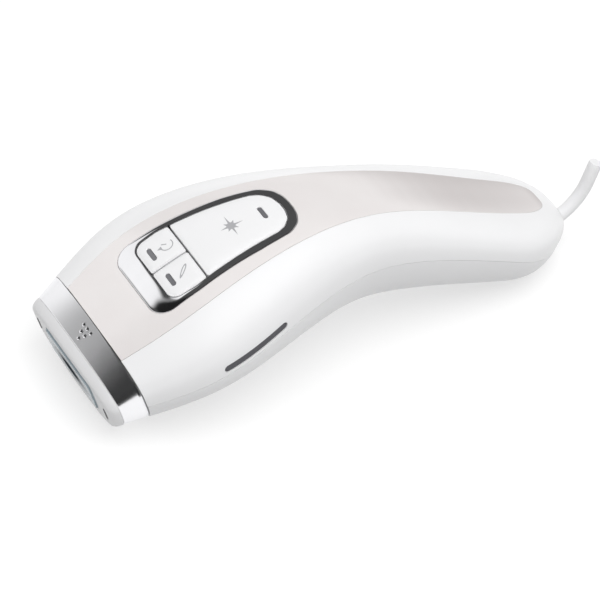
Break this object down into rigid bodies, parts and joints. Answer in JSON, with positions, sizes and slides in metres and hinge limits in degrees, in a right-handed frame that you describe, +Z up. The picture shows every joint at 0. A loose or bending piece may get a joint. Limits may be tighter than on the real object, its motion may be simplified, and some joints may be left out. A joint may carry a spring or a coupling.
{
  "type": "ipl hair remover",
  "caption": "Corded pulsed-light hair remover: curved two-shell handle, pull-off window head with metal collar, thumb button pad, side air slots and tail cord.",
  "frame": {"origin": "centre of the treatment window's outer face", "axes": "+X towards the tail, +Z up as the device rests on a table, XZ is the plane of symmetry"},
  "size_m": [0.209, 0.0762, 0.0573],
  "materials": {
    "aluminium": "satin",
    "black_plastic": "matte",
    "bronze": "satin",
    "brushed_silver": "satin brushed",
    "button_white": "satin",
    "capacitor_sleeve": "satin",
    "ceramic": "matte",
    "circuit_board": "satin",
    "copper": "satin",
    "cord_rubber": "matte",
    "cord_white": "satin",
    "dark_chrome": "mirror",
    "duct_white": "gloss",
    "face_white": "satin",
    "filter_glass": "polished",
    "grey_plastic": "matte",
    "heat_plastic": "matte",
    "lamp_glass": "polished",
    "lead_black": "satin",
    "lead_red": "satin",
    "led_epoxy": "gloss",
    "lens_grey": "satin",
    "mirror_metal": "mirror",
    "pearl_strip": "pearl",
    "ribbon_white": "satin",
    "screw_steel": "satin",
    "smoked_window": "polished",
    "spring_steel": "satin",
    "vent_grey": "matte",
    "white_plastic": "satin",
    "white_plastic_lower": "satin",
    "winding_tape": "satin",
    "window_glass": "polished"
  },
  "bodies": {
    "handle": {"upper_casing": "white_plastic", "lower_casing": "white_plastic_lower", "decor_strip": "pearl_strip", "control_bezel": "dark_chrome", "button_carrier": "grey_plastic", "control_board": "circuit_board", "switch_bases": "black_plastic", "indicator_leds": "led_epoxy", "left_vent_grille": "vent_grey", "right_vent_grille": "vent_grey", "bulkhead": "grey_plastic", "skin_sensors": "black_plastic", "head_clips": "spring_steel", "lamp_housing": "heat_plastic", "uv_filter": "filter_glass", "reflector": "mirror_metal", "lamp_tube": "lamp_glass", "lamp_electrodes": "spring_steel", "lamp_holders": "ceramic", "trigger_wire": "copper", "heat_sink": "aluminium", "thermistor": "black_plastic", "fan_housing": "black_plastic", "fan_cover": "black_plastic", "fan_bearing": "bronze", "chassis": "grey_plastic", "main_board": "circuit_board", "flash_capacitor": "capacitor_sleeve", "trigger_transformer": "winding_tape", "choke": "black_plastic", "power_transistor": "black_plastic", "casing_screws": "screw_steel", "board_screws": "screw_steel", "lamp_leads": "lead_red", "fan_lead": "lead_black", "dc_leads": "lead_black", "ribbon_cable": "ribbon_white", "strain_relief": "cord_rubber", "cord_clamp": "grey_plastic", "power_cord": "cord_white"},
    "flash_key": {"flash_button": "button_white", "flash_lens": "lens_grey", "flash_plunger": "black_plastic"},
    "mode_key": {"mode_button": "button_white", "mode_lens": "lens_grey", "mode_plunger": "black_plastic"},
    "level_key": {"level_button": "button_white", "level_lens": "lens_grey", "level_plunger": "black_plastic"},
    "treatment_head": {"head_collar": "brushed_silver", "face_plate": "face_white", "light_duct": "duct_white", "window_glass": "window_glass", "left_sensor_window": "smoked_window", "right_sensor_window": "smoked_window"},
    "impeller": {"fan_rotor": "black_plastic", "fan_shaft": "spring_steel"}
  },
  "joints": [
    {"name": "flash_press", "type": "slide", "parent": "handle", "child": "flash_key", "axis": [0.2689, 0, -0.9632], "range_m": [0, 0.0008], "stiffness_N_per_m": 600},
    {"name": "mode_press", "type": "slide", "parent": "handle", "child": "mode_key", "axis": [0.2689, 0, -0.9632], "range_m": [0, 0.0005], "stiffness_N_per_m": 600},
    {"name": "level_press", "type": "slide", "parent": "handle", "child": "level_key", "axis": [0.2689, 0, -0.9632], "range_m": [0, 0.0005], "stiffness_N_per_m": 600},
    {"name": "head_pull", "type": "slide", "parent": "handle", "child": "treatment_head", "axis": [-0.9421, 0, -0.3355], "range_m": [0, 0.03], "stiffness_N_per_m": 400},
    {"name": "fan_spin", "type": "hinge", "parent": "handle", "child": "impeller", "pos_m": [0.05962, 0, 0.01503], "axis": [-0.2588, 0, 0.9659], "continuous": true}
  ]
}
